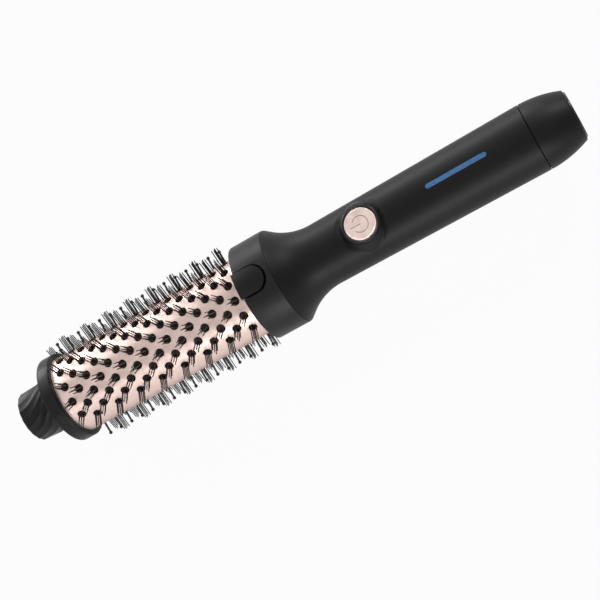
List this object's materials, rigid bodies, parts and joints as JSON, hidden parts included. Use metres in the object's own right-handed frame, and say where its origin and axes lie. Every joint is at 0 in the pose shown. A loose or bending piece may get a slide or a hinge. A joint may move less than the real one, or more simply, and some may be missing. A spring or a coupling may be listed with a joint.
{
  "type": "heated round hair brush",
  "caption": "Heated round styling brush: rose-gold barrel with staggered bristle tufts, black flared handle with power button and light bar, fluted cool tip and swivel cord outlet.",
  "frame": {"origin": "centre of the cord bore's mouth, at the end of the handle", "axes": "+X along the brush's axis towards the cool tip, +Z out through the power button, +Y to the left of a user who looks along +X"},
  "size_m": [0.2898, 0.047, 0.0548],
  "materials": {
    "rose_gold_coat": "satin ceramic coat on aluminium tube",
    "rose_gold_plate": "spun metallic",
    "bristle_nylon": "satin heat-resistant nylon",
    "heat_resin": "moulded",
    "extruded_aluminium": "extruded",
    "ptc_ceramic": "sintered ceramic",
    "contact_brass": "stamped",
    "polyimide_film": "film",
    "sensor_glass": "opaque glass bead",
    "fuse_ceramic": "glazed ceramic",
    "lead_sleeve": "braided glass sleeve",
    "black_soft_touch": "soft-touch satin paint",
    "black_satin_plastic": "satin moulded",
    "black_gloss_plastic": "gloss moulded",
    "grey_plastic": "moulded",
    "white_acetal": "turned",
    "blue_light_bar": "translucent moulded",
    "led_resin": "cast",
    "board_laminate": "solder-masked laminate",
    "black_epoxy": "moulded",
    "capacitor_case": "moulded",
    "varistor_coat": "dipped",
    "red_wire": "extruded silicone",
    "steel": "zinc-plated"
  },
  "bodies": {
    "brush": {"barrel": "rose_gold_coat", "tuft_strips_upper": "bristle_nylon", "tuft_strips_lower": "bristle_nylon", "pin_strip_left": "bristle_nylon", "pin_strip_right": "bristle_nylon", "bristle_core_upper": "heat_resin", "bristle_core_lower": "heat_resin", "heat_spreader_left": "extruded_aluminium", "heat_spreader_right": "extruded_aluminium", "ptc_stones": "ptc_ceramic", "electrode_plates": "contact_brass", "insulating_films": "polyimide_film", "thermistor": "sensor_glass", "thermal_fuse": "fuse_ceramic", "heater_leads": "lead_sleeve", "head_base": "heat_resin", "contact_pins": "contact_brass", "tip_flange": "black_gloss_plastic", "tip_axle": "steel", "tip_washer": "white_acetal", "collar": "black_satin_plastic", "collar_screws": "steel", "tab_pin": "steel", "tab_spring": "steel", "handle_shell": "black_soft_touch", "end_cap": "black_soft_touch", "contact_brushes": "contact_brass", "button_bezel": "black_gloss_plastic", "tact_switch": "grey_plastic", "light_window": "blue_light_bar", "indicator_leds": "led_resin", "main_board": "board_laminate", "board_screws": "steel", "board_tray": "grey_plastic", "triac": "black_epoxy", "capacitor": "capacitor_case", "controller_chip": "black_epoxy", "varistor": "varistor_coat", "socket_block": "heat_resin", "socket_contacts": "contact_brass", "head_wires": "red_wire"},
    "power_key": {"power_button": "rose_gold_plate", "switch_plunger": "black_gloss_plastic"},
    "release_latch": {"release_tab": "black_satin_plastic"},
    "tip_grip": {"cool_tip": "black_satin_plastic", "tip_cap": "black_satin_plastic"},
    "cord_swivel": {"cord_gland": "black_gloss_plastic", "gland_clip": "steel", "slip_rings": "contact_brass"}
  },
  "joints": [
    {"name": "power_press", "type": "slide", "parent": "brush", "child": "power_key", "axis": [0, 0, -1], "range_m": [0, 0.0006], "stiffness_N_per_m": 2500},
    {"name": "release_rock", "type": "hinge", "parent": "brush", "child": "release_latch", "pos_m": [0.155, 0, 0.021], "axis": [0, -1, 0], "range_deg": [0, 12], "stiffness_Nm_per_rad": 0.12, "deforming": ["tab_spring"]},
    {"name": "tip_spin", "type": "hinge", "parent": "brush", "child": "tip_grip", "pos_m": [0.28, 0, 0], "axis": [1, 0, 0], "continuous": true},
    {"name": "cord_spin", "type": "hinge", "parent": "brush", "child": "cord_swivel", "pos_m": [0.006, 0, 0], "axis": [1, 0, 0], "continuous": true}
  ]
}
